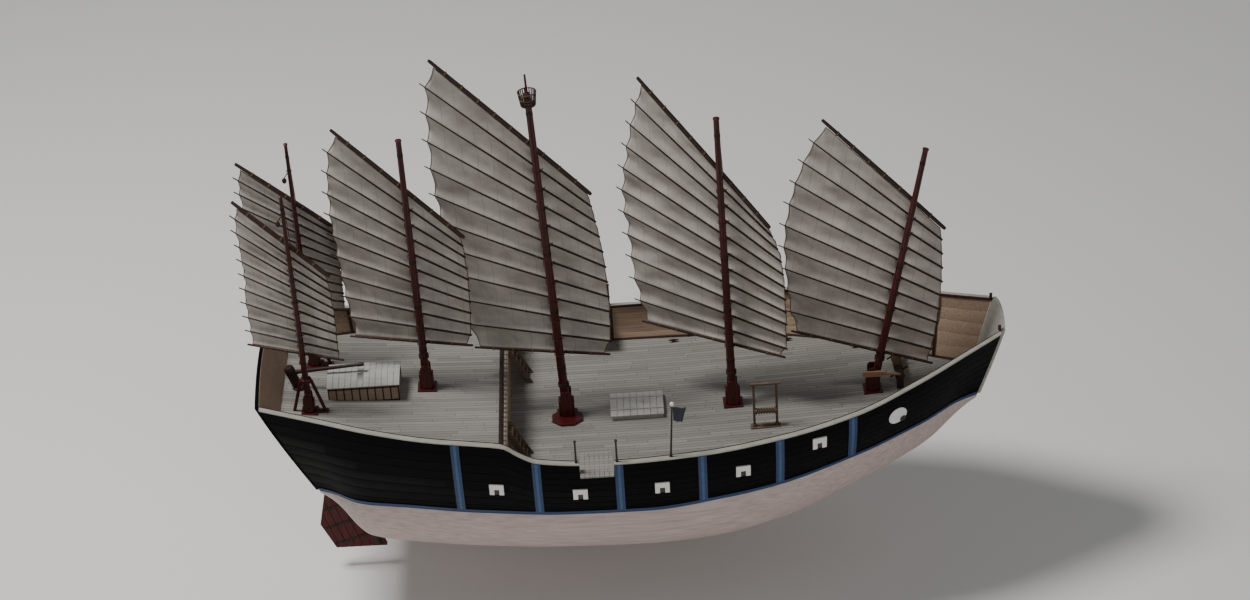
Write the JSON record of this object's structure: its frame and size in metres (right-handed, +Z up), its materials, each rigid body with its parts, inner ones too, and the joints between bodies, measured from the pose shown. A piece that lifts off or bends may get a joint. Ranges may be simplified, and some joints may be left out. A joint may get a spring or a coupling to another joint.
{
  "type": "chinese junk display model, fully rigged",
  "caption": "Display model of a Chinese junk: decked hull with bulwarks, raked masts, battened lug sails that swing about the masts, and a hung rudder.",
  "frame": {"origin": "middle of the flat bottom amidships, where the display support holds the model", "axes": "+X to the bow, +Y to port, +Z up along the hull's vertical"},
  "size_m": [1.5334, 0.624, 1.1088],
  "materials": {
    "bottom_paint": "white oil paint, satin, slightly pink",
    "black_paint": "black lacquer over planks, semi-gloss",
    "deck_planks": "scrubbed pale grey planking, matt",
    "inner_planks": "tan varnished planking, satin",
    "pale_rail": "pale grey painted rail, satin",
    "blue_paint": "azure blue paint, satin",
    "white_paint": "white paint, satin",
    "dark_wood": "dark brown stained wood, satin",
    "grey_paint": "pale grey painted wood, matt",
    "mast_stain": "mahogany red-brown varnish, satin",
    "sailcloth": "off-white cotton cloth, matt",
    "rudder_stain": "dark red stained wood, satin"
  },
  "bodies": {
    "hull": {"hull_bottom": "bottom_paint", "hull_topsides": "black_paint", "main_deck": "deck_planks", "quarterdeck": "deck_planks", "quarterdeck_bulkhead": "inner_planks", "balustrade": "dark_wood", "transom": "black_paint", "bow_board": "pale_rail", "bulwark_starboard": "inner_planks", "cap_rail_aft_starboard": "pale_rail", "cap_rail_fore_starboard": "pale_rail", "boarding_platform_starboard": "pale_rail", "blue_trim_starboard": "blue_paint", "eye_starboard": "white_paint", "ladder_starboard": "dark_wood", "bulwark_port": "inner_planks", "cap_rail_aft_port": "pale_rail", "cap_rail_fore_port": "pale_rail", "boarding_platform_port": "pale_rail", "blue_trim_port": "blue_paint", "eye_port": "white_paint", "ladder_port": "dark_wood", "cabin_skylight": "grey_paint", "main_hatch": "grey_paint", "halyard_winch": "dark_wood", "anchor_windlass": "dark_wood", "lookout_basket": "dark_wood", "mast_main": "mast_stain", "mast_step_main": "mast_stain", "mast_fore": "mast_stain", "mast_step_fore": "mast_stain", "mast_bow": "mast_stain", "mast_step_bow": "mast_stain", "mast_mizzen": "mast_stain", "mast_step_mizzen": "mast_stain", "mast_quarter_starboard": "mast_stain", "mast_step_quarter_starboard": "mast_stain", "mast_quarter_port": "mast_stain", "mast_step_quarter_port": "mast_stain"},
    "rudder": {"rudder": "rudder_stain"},
    "sail_main": {"sail_main": "sailcloth", "yard_main": "dark_wood", "boom_main": "dark_wood"},
    "sail_fore": {"sail_fore": "sailcloth", "yard_fore": "dark_wood", "boom_fore": "dark_wood"},
    "sail_bow": {"sail_bow": "sailcloth", "yard_bow": "dark_wood", "boom_bow": "dark_wood"},
    "sail_mizzen": {"sail_mizzen": "sailcloth", "yard_mizzen": "dark_wood", "boom_mizzen": "dark_wood"},
    "sail_quarter_starboard": {"sail_quarter_starboard": "sailcloth", "yard_quarter_starboard": "dark_wood", "boom_quarter_starboard": "dark_wood"},
    "sail_quarter_port": {"sail_quarter_port": "sailcloth", "yard_quarter_port": "dark_wood", "boom_quarter_port": "dark_wood"}
  },
  "joints": [
    {"name": "rudder_turn", "type": "hinge", "parent": "hull", "child": "rudder", "pos_m": [-0.556, 0, -0.108], "axis": [-0.303, 0, 0.953], "range_deg": [-35, 35]},
    {"name": "swing_main", "type": "hinge", "parent": "hull", "child": "sail_main", "pos_m": [-0.141, 0, 0.186], "axis": [0.0419, 0, -0.9991], "range_deg": [-7, 45]},
    {"name": "swing_fore", "type": "hinge", "parent": "hull", "child": "sail_fore", "pos_m": [0.201, 0, 0.191], "axis": [0.0175, 0, -0.9998], "range_deg": [-16, 30]},
    {"name": "swing_bow", "type": "hinge", "parent": "hull", "child": "sail_bow", "pos_m": [0.489, 0, 0.2045], "axis": [-0.1908, 0, -0.9816], "range_deg": [-9, 38]},
    {"name": "swing_mizzen", "type": "hinge", "parent": "hull", "child": "sail_mizzen", "pos_m": [-0.422, 0, 0.275], "axis": [0.0105, 0, -0.9999], "range_deg": [-7, 45]},
    {"name": "swing_quarter_starboard", "type": "hinge", "parent": "hull", "child": "sail_quarter_starboard", "pos_m": [-0.655, -0.087, 0.29], "axis": [0.0052, 0, -1], "range_deg": [-25, 30]},
    {"name": "swing_quarter_port", "type": "hinge", "parent": "hull", "child": "sail_quarter_port", "pos_m": [-0.655, 0.087, 0.29], "axis": [0.0052, 0, -1], "range_deg": [-15, 40]}
  ]
}
